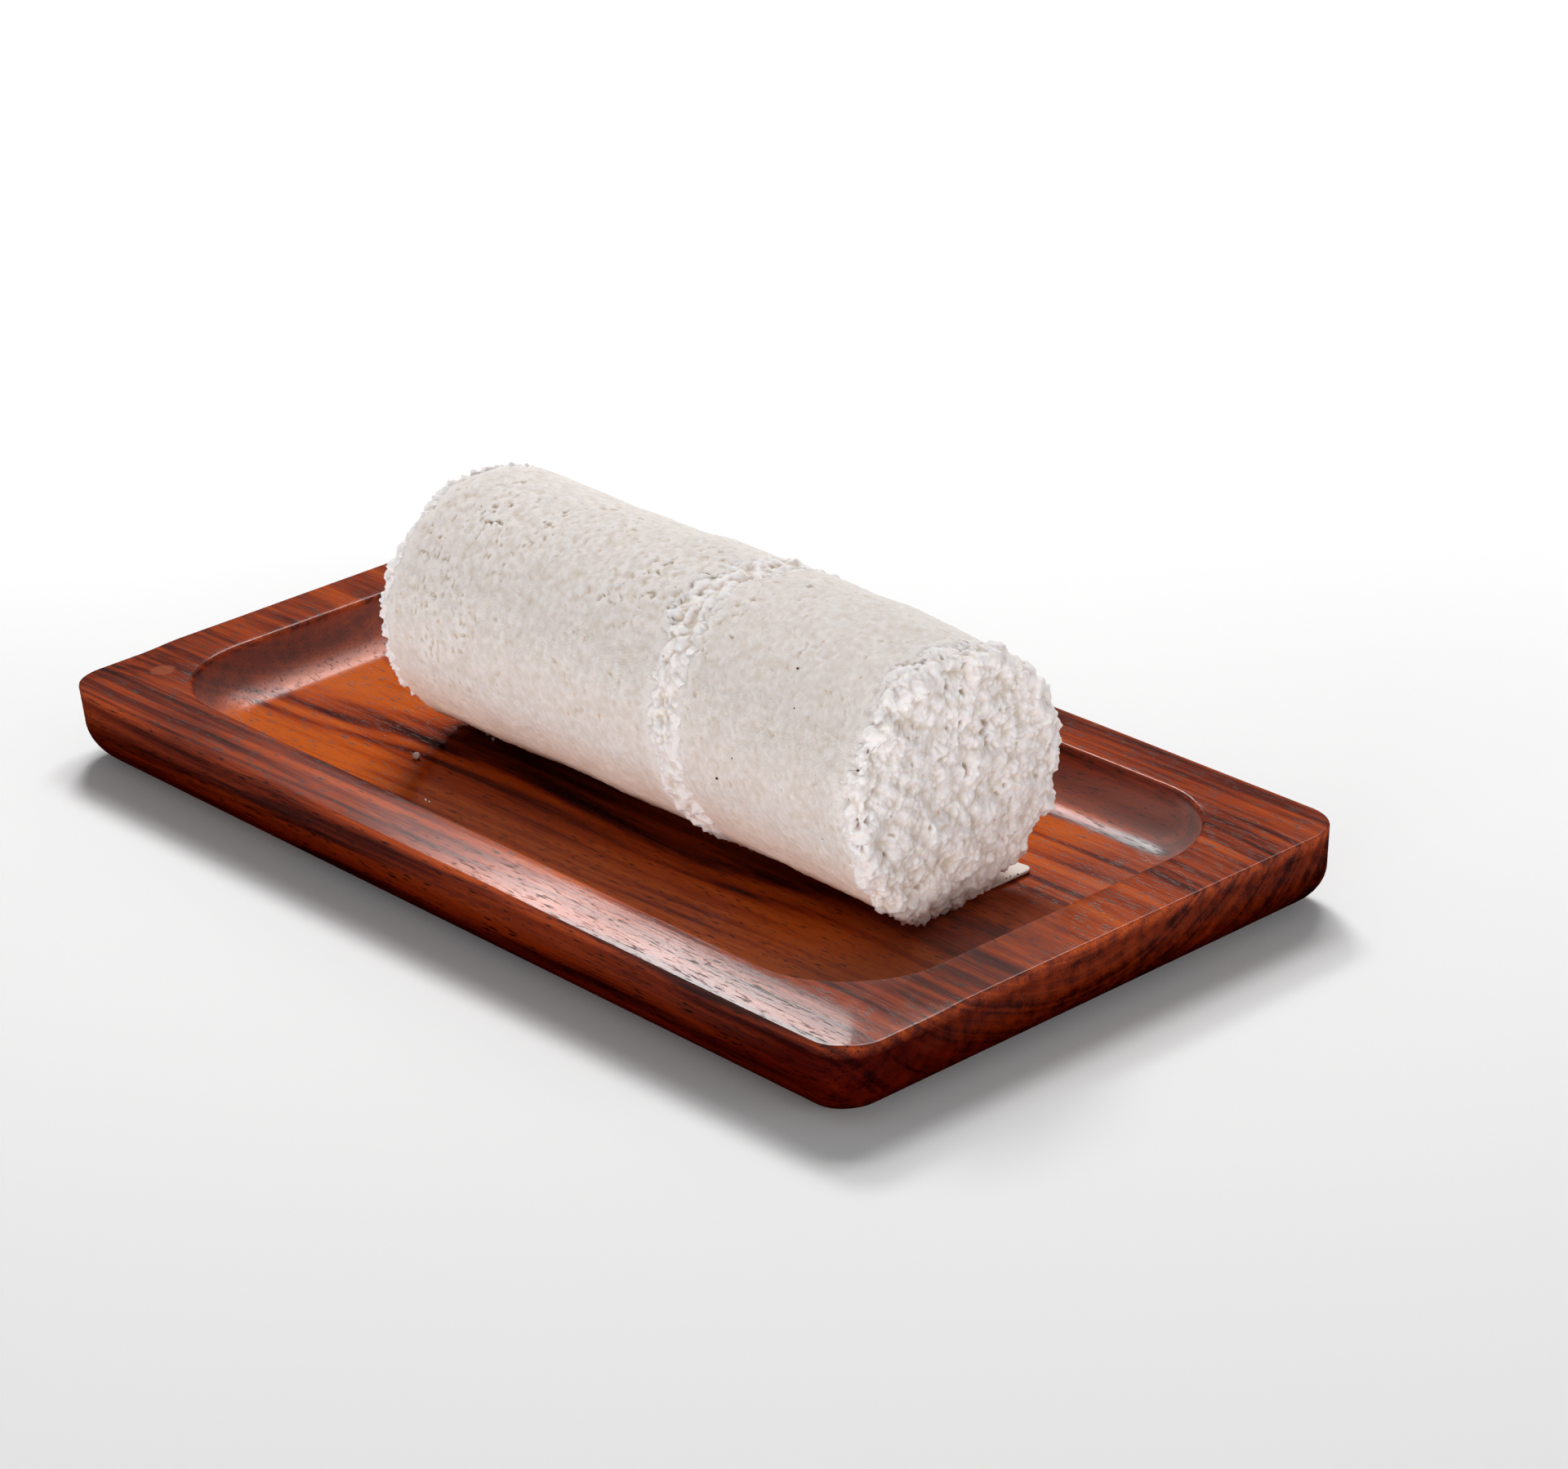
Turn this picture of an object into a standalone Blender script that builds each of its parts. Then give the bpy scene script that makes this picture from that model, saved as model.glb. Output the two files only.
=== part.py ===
"""Plate of puttu: a steamed rice log on a hardwood plate with a sunken well.

Units are metres and +Z is up. The origin is the middle of the plate's underside. The plate's
length and the puttu's axis run along X, and the puttu's open end faces +X.
"""

import math

import bmesh
import bpy
from mathutils import Vector, noise

MM = 0.001
GAP = 0.3 * MM

# Plate: one board, its well cut with a round-nosed cutter and its underside rounded by hand.
PLATE_LENGTH = 280 * MM
PLATE_WIDTH = 150 * MM
PLATE_THICKNESS = 20 * MM
PLATE_CORNER_RADIUS = 10.5 * MM
SIDE_TAPER = 0.5 * MM
UNDERSIDE_HEIGHT = 10.5 * MM
SIDE_UNDERCUT = 8.5 * MM
END_UNDERCUT = 13.5 * MM
CORNER_TIGHTENING = 0.6
RIM_EDGE_ROUND = 0.8 * MM
END_RIM_WIDTH = 16 * MM
SIDE_RIM_WIDTH = 14.5 * MM
WELL_CORNER_RADIUS = 26 * MM
WELL_LIP_ROUND = 1.0 * MM
COVE_RUN = 13 * MM
COVE_DROP = 10 * MM
CORNER_STEPS = 10
EDGE_STEPS = 3
UNDERSIDE_STEPS = 6
COVE_STEPS = 8

# Puttu: rice flour and coconut steamed in a round tube, pushed out and laid in the well.
PUTTU_RADIUS = 31.5 * MM
PUTTU_REAR_X = -70.5 * MM
PUTTU_FRONT_X = 97.5 * MM
PUTTU_BOW = 1.6 * MM
PUTTU_END_OFFSET_Y = -0.3 * MM
PUTTU_SAG = 0.4 * MM
REAR_SHOULDER = 6 * MM
FRONT_SHOULDER = 3 * MM
COCONUT_RECESS = 0.5 * MM
CRUMB_RELIEF = 1.6 * MM
CRUMB_SIZE = 7 * MM
RICE_UNEVENNESS = 0.6 * MM
RICE_LUMP_SIZE = 17 * MM
RING_SPACING = 6 * MM
AROUND = 60
FACE_RINGS = 12
REAR_COCONUT_RINGS = 5

# Its layers meet on leaning planes: where each crosses the axis, and how far it leans back for
# each unit of rise. The flour settles in the tube, so the planes tilt more towards the front.
REAR_LEAN = -0.03
REAR_COCONUT_X = -66.5 * MM
MIDDLE_COCONUT_X = 33.5 * MM
MIDDLE_COCONUT_THICKNESS = 5 * MM
MIDDLE_LEAN = 0.12
FRONT_COCONUT_X = 93.6 * MM
FRONT_COCONUT_LEAN = 0.12
FRONT_LEAN = 0.055

WELL_FLOOR_Z = PLATE_THICKNESS - WELL_LIP_ROUND - COVE_DROP
PUTTU_REST_Z = WELL_FLOOR_Z + GAP
PUTTU_AXIS_Z = PUTTU_REST_Z + PUTTU_RADIUS - PUTTU_SAG


def clear_scene():
    """Removes every object, so that the file holds this part alone."""
    for item in list(bpy.data.objects):
        bpy.data.objects.remove(item, do_unlink=True)


def make_material(name, colour, roughness):
    """Makes a Principled material with one colour and roughness."""
    material = bpy.data.materials.new(name)
    material.use_nodes = True
    shader = material.node_tree.nodes["Principled BSDF"]
    shader.inputs["Base Color"].default_value = (*colour, 1.0)
    shader.inputs["Roughness"].default_value = roughness
    shader.inputs["Metallic"].default_value = 0.0
    material.diffuse_color = (*colour, 1.0)
    return material


def loft(name, rings, material, smooth_angle=math.radians(40)):
    """Skins a run of rings, caps the first and the last, and adds the closed body to the scene."""
    body = bmesh.new()
    loops = [[body.verts.new(point) for point in ring] for ring in rings]
    for lower, upper in zip(loops, loops[1:]):
        for here in range(len(lower)):
            body.faces.new((lower[here - 1], lower[here], upper[here], upper[here - 1]))
    body.faces.new(loops[0])
    body.faces.new(loops[-1])
    bmesh.ops.recalc_face_normals(body, faces=body.faces)
    mesh = bpy.data.meshes.new(name)
    body.to_mesh(mesh)
    body.free()
    mesh.shade_smooth()
    mesh.set_sharp_from_angle(angle=smooth_angle)
    mesh.materials.append(material)
    part = bpy.data.objects.new(name, mesh)
    bpy.context.scene.collection.objects.link(part)
    return part


def rounded_ring(half_x, half_y, radius, z):
    """Points of a rectangle with round corners, counter-clockwise from the +X side."""
    points = []
    for quarter, (side_x, side_y) in enumerate(((1, 1), (-1, 1), (-1, -1), (1, -1))):
        for step in range(CORNER_STEPS + 1):
            angle = math.pi / 2 * (quarter + step / CORNER_STEPS)
            x = side_x * (half_x - radius) + radius * math.cos(angle)
            y = side_y * (half_y - radius) + radius * math.sin(angle)
            points.append(Vector((x, y, z)))
    return points


def outer_ring(inset, z, further=0.0):
    """The plate's outline, drawn in by an inset, and further at the ends; its corners tighten."""
    radius = PLATE_CORNER_RADIUS - CORNER_TIGHTENING * inset
    return rounded_ring(PLATE_LENGTH / 2 - inset - further, PLATE_WIDTH / 2 - inset, radius, z)


def well_ring(inset, z):
    """The well's outline, drawn in by an inset from its wall; a negative inset lies on the rim."""
    half_x = PLATE_LENGTH / 2 - END_RIM_WIDTH - inset
    half_y = PLATE_WIDTH / 2 - SIDE_RIM_WIDTH - inset
    return rounded_ring(half_x, half_y, WELL_CORNER_RADIUS - inset, z)


def quarter_turn(steps):
    """Angles of a quarter circle, from 0 to 90 degrees."""
    return [math.pi / 2 * step / steps for step in range(steps + 1)]


def make_plate(material):
    """The board, lofted from its underside up its side, over the rim and down into the well."""
    rings = []
    for angle in quarter_turn(UNDERSIDE_STEPS):
        turned = 1 - math.sin(angle)
        further = (END_UNDERCUT - SIDE_UNDERCUT) * turned
        height = UNDERSIDE_HEIGHT * (1 - math.cos(angle))
        rings.append(outer_ring(SIDE_TAPER + SIDE_UNDERCUT * turned, height, further))
    for angle in quarter_turn(EDGE_STEPS):
        inset = RIM_EDGE_ROUND * (1 - math.cos(angle))
        rings.append(outer_ring(inset, PLATE_THICKNESS - RIM_EDGE_ROUND * (1 - math.sin(angle))))
    for angle in quarter_turn(EDGE_STEPS):
        inset = -WELL_LIP_ROUND * (1 - math.sin(angle))
        rings.append(well_ring(inset, PLATE_THICKNESS - WELL_LIP_ROUND * (1 - math.cos(angle))))
    for angle in quarter_turn(COVE_STEPS)[1:]:
        inset = COVE_RUN * (1 - math.cos(angle))
        depth = WELL_LIP_ROUND + COVE_DROP * math.sin(angle)
        rings.append(well_ring(inset, PLATE_THICKNESS - depth))
    return loft("plate", rings, material)


def axis_y(x):
    """Where the puttu's axis runs: it bows a little between its ends."""
    middle = (PUTTU_REAR_X + PUTTU_FRONT_X) / 2
    half = (PUTTU_FRONT_X - PUTTU_REAR_X) / 2
    return PUTTU_END_OFFSET_Y + PUTTU_BOW * (1 - ((x - middle) / half) ** 2)


def shoulder(distance, radius):
    """How far a rounded shoulder draws the surface in, at a distance from the end."""
    if distance >= radius:
        return 0.0
    return radius - math.sqrt(radius ** 2 - (radius - max(distance, 0.0)) ** 2)


def puttu_point(x, lean, angle, reach, recess):
    """A point of the puttu: reach is 0 on the axis and 1 on the skin, in the plane leaning at x."""
    around = Vector((x, PUTTU_RADIUS * math.cos(angle), PUTTU_RADIUS * math.sin(angle)))
    lump = RICE_UNEVENNESS * noise.noise(around / RICE_LUMP_SIZE)
    drawn_in = shoulder(x - PUTTU_REAR_X, REAR_SHOULDER) + shoulder(PUTTU_FRONT_X - x, FRONT_SHOULDER)
    radius = reach * (PUTTU_RADIUS - recess - drawn_in + lump)
    rise = radius * math.sin(angle)
    y = axis_y(x) + radius * math.cos(angle)
    z = max(PUTTU_AXIS_Z + rise, PUTTU_REST_Z)
    return Vector((x - lean * rise, y, z))


def puttu_ring(x, lean, reach=1.0, recess=0.0, relief=0.0):
    """One turn round the puttu; relief pushes its points along the axis like loose crumbs."""
    points = []
    for step in range(AROUND):
        point = puttu_point(x, lean, 2 * math.pi * step / AROUND, reach, recess)
        point.x += relief * noise.noise(point / CRUMB_SIZE)
        points.append(point)
    return points


def puttu_layer(name, start, end, material, recess=0.0):
    """A slice of the puttu between two planes, each given by its x and its lean."""
    slices = max(2, round((end[0] - start[0]) / RING_SPACING))
    rings = []
    for step in range(slices + 1):
        share = step / slices
        x = start[0] + (end[0] - start[0]) * share
        lean = start[1] + (end[1] - start[1]) * share
        rings.append(puttu_ring(x, lean, recess=recess))
    return loft(name, rings, material)


def make_rear_coconut(material):
    """The coconut that closes the rear end, rounded by the tube's lid."""
    rings = []
    for step in range(REAR_COCONUT_RINGS + 1):
        share = (step / REAR_COCONUT_RINGS) ** 2
        rings.append(puttu_ring(PUTTU_REAR_X + (REAR_COCONUT_X - PUTTU_REAR_X) * share, REAR_LEAN))
    return loft("puttu_rear_coconut", rings, material)


def make_front_coconut(material):
    """The coconut at the open end, a wedge whose face is left rough and crumbly."""
    rings = [puttu_ring(FRONT_COCONUT_X, FRONT_COCONUT_LEAN, recess=COCONUT_RECESS)]
    rings.append(puttu_ring(PUTTU_FRONT_X - FRONT_SHOULDER, FRONT_LEAN, recess=COCONUT_RECESS))
    for step in range(FACE_RINGS):
        reach = 1 - step / FACE_RINGS
        rings.append(puttu_ring(PUTTU_FRONT_X, FRONT_LEAN, reach, COCONUT_RECESS, CRUMB_RELIEF))
    return loft("puttu_front_coconut", rings, material)


def make_puttu(rice, coconut):
    """The log's layers from rear to front, with a clearance between neighbours."""
    middle_start = MIDDLE_COCONUT_X - MIDDLE_COCONUT_THICKNESS / 2
    middle_end = MIDDLE_COCONUT_X + MIDDLE_COCONUT_THICKNESS / 2
    make_rear_coconut(coconut)
    rear_start = (REAR_COCONUT_X + GAP, REAR_LEAN)
    puttu_layer("puttu_rear_rice", rear_start, (middle_start - GAP, MIDDLE_LEAN), rice)
    middle = ((middle_start, MIDDLE_LEAN), (middle_end, MIDDLE_LEAN))
    puttu_layer("puttu_middle_coconut", *middle, coconut, COCONUT_RECESS)
    front_end = (FRONT_COCONUT_X - GAP, FRONT_COCONUT_LEAN)
    puttu_layer("puttu_front_rice", (middle_end + GAP, MIDDLE_LEAN), front_end, rice)
    make_front_coconut(coconut)


def main():
    """Builds the plate and the puttu that lies in it."""
    clear_scene()
    rosewood = make_material("oiled_rosewood", (0.17, 0.042, 0.018), 0.3)
    rice = make_material("steamed_rice_flour", (0.78, 0.72, 0.66), 0.85)
    coconut = make_material("grated_coconut", (0.86, 0.84, 0.82), 0.9)
    make_plate(rosewood)
    make_puttu(rice, coconut)


main()
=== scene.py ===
"""Looks of the plate of puttu: a lacquered rosewood plate holding a steamed rice flour log.

Everything is in metres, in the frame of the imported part: the plate's length and the log's axis
run along X, the log's open, crumbly end faces +X, and Z is up from the plate's underside.
Angles round the log start at its far side (+Y): a quarter turn is its top, a half its near side.
"""

import itertools
import logging
import math
from collections.abc import Callable
from dataclasses import dataclass
from enum import Enum
from functools import partial

import bmesh
import bpy
import numpy as np
from mathutils import Matrix, Vector


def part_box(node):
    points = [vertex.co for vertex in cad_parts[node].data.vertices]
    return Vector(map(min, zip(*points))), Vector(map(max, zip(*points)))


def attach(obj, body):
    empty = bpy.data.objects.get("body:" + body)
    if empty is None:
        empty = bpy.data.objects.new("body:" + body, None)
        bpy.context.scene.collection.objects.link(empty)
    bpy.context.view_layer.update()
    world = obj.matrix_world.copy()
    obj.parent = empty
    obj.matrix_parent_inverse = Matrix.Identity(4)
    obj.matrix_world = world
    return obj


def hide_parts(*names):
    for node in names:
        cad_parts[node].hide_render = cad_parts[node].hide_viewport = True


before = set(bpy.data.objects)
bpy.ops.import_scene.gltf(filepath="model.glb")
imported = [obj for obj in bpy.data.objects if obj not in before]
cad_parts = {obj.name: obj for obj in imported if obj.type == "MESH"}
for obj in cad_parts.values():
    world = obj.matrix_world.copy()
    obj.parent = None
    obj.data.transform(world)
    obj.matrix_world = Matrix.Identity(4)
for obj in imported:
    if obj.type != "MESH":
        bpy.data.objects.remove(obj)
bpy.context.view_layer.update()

MM = 0.001
BODY = "root"

log = logging.getLogger("plate_of_puttu")

Array = np.ndarray
Mesh = bpy.types.Mesh
Place = tuple[float, float, float]
Socket = bpy.types.NodeSocket
Put = Callable[..., Socket]
Sockets = dict[int | str, object]
Table = tuple[tuple[float, ...], ...]


class Slot(Enum):
    """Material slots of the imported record."""

    ROSEWOOD = "rosewood"
    RICE = "steamed_rice"
    COCONUT = "grated_coconut"


class Role(Enum):
    """What a light is for."""

    SHINE = "seen in the lacquer"
    FILL = "lights matt surfaces"


# ------------ noise and easing


def unit(vectors: Array) -> Array:
    """Scales the vectors in the last axis to a length of 1."""
    return vectors / np.linalg.norm(vectors, axis=-1, keepdims=True)


class Noise:
    """Seeded three-dimensional noise, worked out for whole arrays of points at once."""

    def __init__(self, seed: int) -> None:
        """Draws the lattice's gradients and the cells' centres.

        Args:
            seed: Fixes the pattern.
        """
        draw = np.random.default_rng(seed)
        self.order = draw.permutation(256)
        self.gradients = unit(draw.normal(size=(256, 3)))
        self.centres = draw.random((256, 3))

    def lattice(self, cells: Array) -> Array:
        """Gives each lattice cell, one a row, its number from 0 to 255."""
        x, y, z = (cells & 255).T
        return self.order[(self.order[(self.order[x] + y) & 255] + z) & 255]

    def smooth(self, points: Array) -> Array:
        """Gradient noise with features one unit apart.

        Args:
            points: One row each.

        Returns:
            Values from about -1 to 1.
        """
        base = np.floor(points).astype(int)
        part = points - base
        fade = part**3 * (part * (part * 6 - 15) + 10)
        total = np.zeros(len(points))
        for corner in itertools.product((0, 1), repeat=3):
            gradient = self.gradients[self.lattice(base + corner)]
            weight = np.prod(np.where(corner, fade, 1 - fade), axis=1)
            total += weight * ((part - corner) * gradient).sum(axis=1)
        return total * 1.6

    def rough(self, points: Array, octaves: int) -> Array:
        """Sums ever finer gradient noise.

        Args:
            points: One row each.
            octaves: How many layers, each half the size and height of the one before.

        Returns:
            Values from about -1 to 1.
        """
        shares = [0.5**octave for octave in range(octaves)]
        layers = [share * self.smooth(points / share + 7.3 * share) for share in shares]
        return sum(layers) / sum(shares)

    def grains(self, points: Array) -> Array:
        """Round grains strewn over an even surface, one in each unit cell.

        Args:
            points: One row each.

        Returns:
            Heights from about -0.35 between the grains to 0.65 on them.
        """
        base = np.floor(points).astype(int)
        nearest = np.full(len(points), np.inf)
        for step in itertools.product((-1, 0, 1), repeat=3):
            cells = base + step
            centre = cells + self.centres[self.lattice(cells)]
            nearest = np.minimum(nearest, ((points - centre) ** 2).sum(axis=1))
        return np.exp(-((np.sqrt(nearest) / 0.43) ** 2)) - 0.35


def rise(low: float, high: float, value: Array) -> Array:
    """Eases from 0 at low to 1 at high; low may be the larger of the two."""
    share = np.clip((value - low) / (high - low), 0, 1)
    return share * share * (3 - 2 * share)


def hump(value: Array, middle: float, half: float) -> Array:
    """A soft bump of height 1, which falls to about a third at half from its middle."""
    return np.exp(-(((value - middle) / half) ** 2))


def turn_hump(angle: Array, middle: float, half: float) -> Array:
    """The same bump on a circle, read at angles in radians; middle and half are in degrees."""
    away = (angle - math.radians(middle) + math.pi) % (2 * math.pi) - math.pi
    return hump(away, 0, math.radians(half))


# ------------ meshes


@dataclass
class Shell:
    """A closed mesh in the making.

    Attributes:
        points: Vertices, one row each.
        faces: Loops of vertex numbers, anticlockwise seen from outside.
    """

    points: Array
    faces: list[list[int]]

    def mesh(self, name: str) -> Mesh:
        """Makes a smooth-shaded Blender mesh of it.

        Args:
            name: The mesh's name.

        Returns:
            The mesh.
        """
        mesh = bpy.data.meshes.new(name)
        mesh.from_pydata(self.points.tolist(), [], self.faces)
        mesh.update()
        mesh.shade_smooth()
        return mesh


def skin_rings(rings: Array) -> Shell:
    """Skins a run of rings and caps both ends.

    Args:
        rings: Points as (ring, point, 3); seen from the last ring they turn anticlockwise.

    Returns:
        The closed shell.
    """
    count, around = rings.shape[:2]
    here = np.arange(around)
    following = np.roll(here, -1)
    lower = np.arange(count - 1)[:, None] * around
    corners = (lower + here, lower + following, lower + around + following, lower + around + here)
    quads = np.stack(corners, axis=2).reshape(-1, 4)
    caps = [here[::-1].tolist(), (here + (count - 1) * around).tolist()]
    return Shell(rings.reshape(-1, 3), quads.tolist() + caps)


def scatter_lumps(centres: Array, sizes: Array, draw: np.random.Generator, subdivisions: int) -> Shell:
    """Puts an irregular lump at each centre.

    Args:
        centres: Where the lumps sit, one row each.
        sizes: Their radii.
        draw: Source of the random shapes.
        subdivisions: How finely each lump is made: 2 gives 42 corners and 3 gives 162.

    Returns:
        All the lumps as one shell of many bodies.
    """
    body = bmesh.new()
    bmesh.ops.create_icosphere(body, subdivisions=subdivisions, radius=1.0)
    ball = np.array([corner.co for corner in body.verts])
    faces = np.array([[corner.index for corner in face.verts] for face in body.faces])
    body.free()
    count = len(centres)
    stretch = draw.uniform(0.72, 1.28, (count, 1, 3))
    bulges = draw.uniform(-1, 1, (count, 3, 3))
    waves = 1 + 0.13 * np.sin(2.4 * ball @ bulges.transpose(0, 2, 1)).sum(axis=2)
    local = ball[None] * stretch * waves[:, :, None]
    first = unit(draw.normal(size=(count, 3)))
    second = unit(np.cross(first, draw.normal(size=(count, 3))))
    turns = np.stack((first, second, np.cross(first, second)), axis=2)
    local = np.einsum("nij,nkj->nki", turns, local) * sizes[:, None, None]
    points = (centres[:, None, :] + local).reshape(-1, 3)
    offsets = np.arange(count)[:, None, None] * len(ball)
    return Shell(points, (faces[None] + offsets).reshape(-1, 3).tolist())


def disc_grid(count: int) -> tuple[Array, Array]:
    """Spreads a square grid evenly over a disc of radius 1.

    Args:
        count: Points along a side of the square.

    Returns:
        Distances from the middle and angles round it, both as (count, count).
    """
    line = np.linspace(-1, 1, count)
    one, two = np.meshgrid(line, line, indexing="ij")
    steep = np.abs(one) > np.abs(two)
    reach = np.where(steep, one, two)
    turn = math.pi / 4 * np.where(steep, two, one) / np.where(reach == 0, 1, reach)
    angle = np.where(steep, turn, math.pi / 2 - turn)
    return np.abs(reach), angle + np.where(reach < 0, math.pi, 0)


def skin_grid(points: Array, flipped: bool) -> Shell:
    """Skins a square grid of points and closes its back with one face.

    Args:
        points: The grid, as (count, count, 3).
        flipped: Whether to turn the faces round.

    Returns:
        The closed shell.
    """
    count = len(points)
    number = np.arange(count * count).reshape(count, count)
    corners = (number[:-1, :-1], number[1:, :-1], number[1:, 1:], number[:-1, 1:])
    quads = np.stack(corners, axis=2).reshape(-1, 4)
    back = np.concatenate((number[0, :-1], number[:-1, -1], number[-1, :0:-1], number[:0:-1, 0]))
    if flipped:
        quads, back = quads[:, ::-1], back[::-1]
    return Shell(points.reshape(-1, 3), quads.tolist() + [back.tolist()])


def quarter_turn(count: int) -> list[tuple[float, float]]:
    """The sine and cosine of even steps from 0 to a quarter turn."""
    return [(math.sin(angle), math.cos(angle)) for angle in np.linspace(0, math.pi / 2, count)]


def rounded_ring(half_x: float, half_y: float, radius: float, z: float, step: float) -> Array:
    """Points of a round-cornered rectangle, anticlockwise seen from above.

    Args:
        half_x: Half its length.
        half_y: Half its width.
        radius: Its corners' radius.
        z: Its height.
        step: Spacing of the points on a straight side, as a share of its length.

    Returns:
        One row a point.
    """
    arc = np.linspace(0, math.pi / 2, 17)
    corners = []
    for quarter, (side_x, side_y) in enumerate(((1, 1), (-1, 1), (-1, -1), (1, -1))):
        angle = quarter * math.pi / 2 + arc
        x = side_x * (half_x - radius) + radius * np.cos(angle)
        y = side_y * (half_y - radius) + radius * np.sin(angle)
        corners.append(np.stack((x, y), axis=1))
    shares = np.linspace(0, 1, round(1 / step) + 1)[1:-1, None]
    points = []
    for here, following in zip(corners, corners[1:] + corners[:1]):
        points += [here, here[-1] + (following[0] - here[-1]) * shares]
    flat = np.concatenate(points)
    return np.column_stack((flat, np.full(len(flat), z)))


def store(mesh: Mesh, name: str, values: Array) -> None:
    """Stores a number from 0 to 1 at each vertex, for the finish to read."""
    layer = mesh.attributes.new(name, "FLOAT", "POINT")
    layer.data.foreach_set("value", np.clip(values, 0, 1).astype(np.float32))


def mark_hollows(mesh: Mesh, rounds: int, depth: float) -> None:
    """Stores how deep each vertex lies below the smoothed surface, which the crumb's finish paints as shade.

    Args:
        mesh: The crumbly mesh.
        rounds: How many times the surface is evened out to find its general level.
        depth: The depth that counts as 1.
    """
    count = len(mesh.vertices)
    places = np.empty((2, count * 3))
    for row, name in zip(places, ("co", "normal")):
        mesh.vertices.foreach_get(name, row)
    points, normals = places.reshape(2, count, 3)
    edges = np.empty(len(mesh.edges) * 2, dtype=np.int32)
    mesh.edges.foreach_get("vertices", edges)
    ends = edges.reshape(-1, 2)
    one, two = np.concatenate((ends, ends[:, ::-1])).T
    links = np.maximum(np.bincount(one, minlength=count), 1)
    level = points.copy()
    for _ in range(rounds):
        for axis in range(3):
            level[:, axis] = np.bincount(one, level[two, axis], count) / links
    below = ((level - points) * normals).sum(axis=1) / depth
    store(mesh, "hollow", 0.5 + 0.5 * below)


# ------------ finishes


def linear(hex_colour: str) -> tuple[float, ...]:
    """Turns an sRGB hex colour, such as #E9E2DE, to linear light and an alpha of 1."""
    parts = [int(hex_colour[i : i + 2], 16) / 255 for i in (1, 3, 5)]
    return (*(c / 12.92 if c <= 0.04045 else ((c + 0.055) / 1.055) ** 2.4 for c in parts), 1.0)


def fill(node: bpy.types.Node, sockets: Sockets) -> None:
    """Gives a node's sockets their values and links.

    Args:
        node: The node.
        sockets: A value, or the output to link, for each input by name or place.
    """
    for socket, value in sockets.items():
        if isinstance(value, Socket):
            node.id_data.links.new(value, node.inputs[socket])
        else:
            node.inputs[socket].default_value = value


def add(
    tree: bpy.types.NodeTree,
    kind: str,
    sockets: Sockets | None = None,
    output: int | str = 0,
    stops: tuple[tuple[float, str], ...] = (),
    **settings: object,
) -> Socket:
    """Adds a shader node with its settings and links.

    Args:
        tree: The material's node tree.
        kind: The node's Blender type, without the ShaderNode that it starts with.
        sockets: A value, or the output to link, for each input by name or place.
        output: Which of its outputs is wanted.
        stops: Positions and hex colours of a colour ramp.
        **settings: The node's own properties.

    Returns:
        That output.
    """
    node = tree.nodes.new("ShaderNode" + kind)
    for name, value in settings.items():
        setattr(node, name, value)
    for place, (position, colour) in enumerate(stops):
        elements = node.color_ramp.elements
        element = elements[place] if place < len(elements) else elements.new(position)
        element.position = position
        element.color = linear(colour)
    fill(node, sockets or {})
    return node.outputs[output]


@dataclass(frozen=True)
class Finish:
    """A surface's material.

    Attributes:
        name: The material's name.
        slot: The record's slot that it belongs to; not used by the script.
    """

    name: str
    slot: Slot | None = None

    def material(self) -> bpy.types.Material:
        """Makes the material.

        Returns:
            A node material dressed by the finish.
        """
        material = bpy.data.materials.new(self.name)
        material.use_nodes = True
        tree = material.node_tree
        fill(tree.nodes["Principled BSDF"], self.dress(partial(add, tree)))
        return material

    def dress(self, put: Put) -> Sockets:
        """Says what feeds each of the shader's sockets, and puts in the nodes for it."""
        raise NotImplementedError


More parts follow.
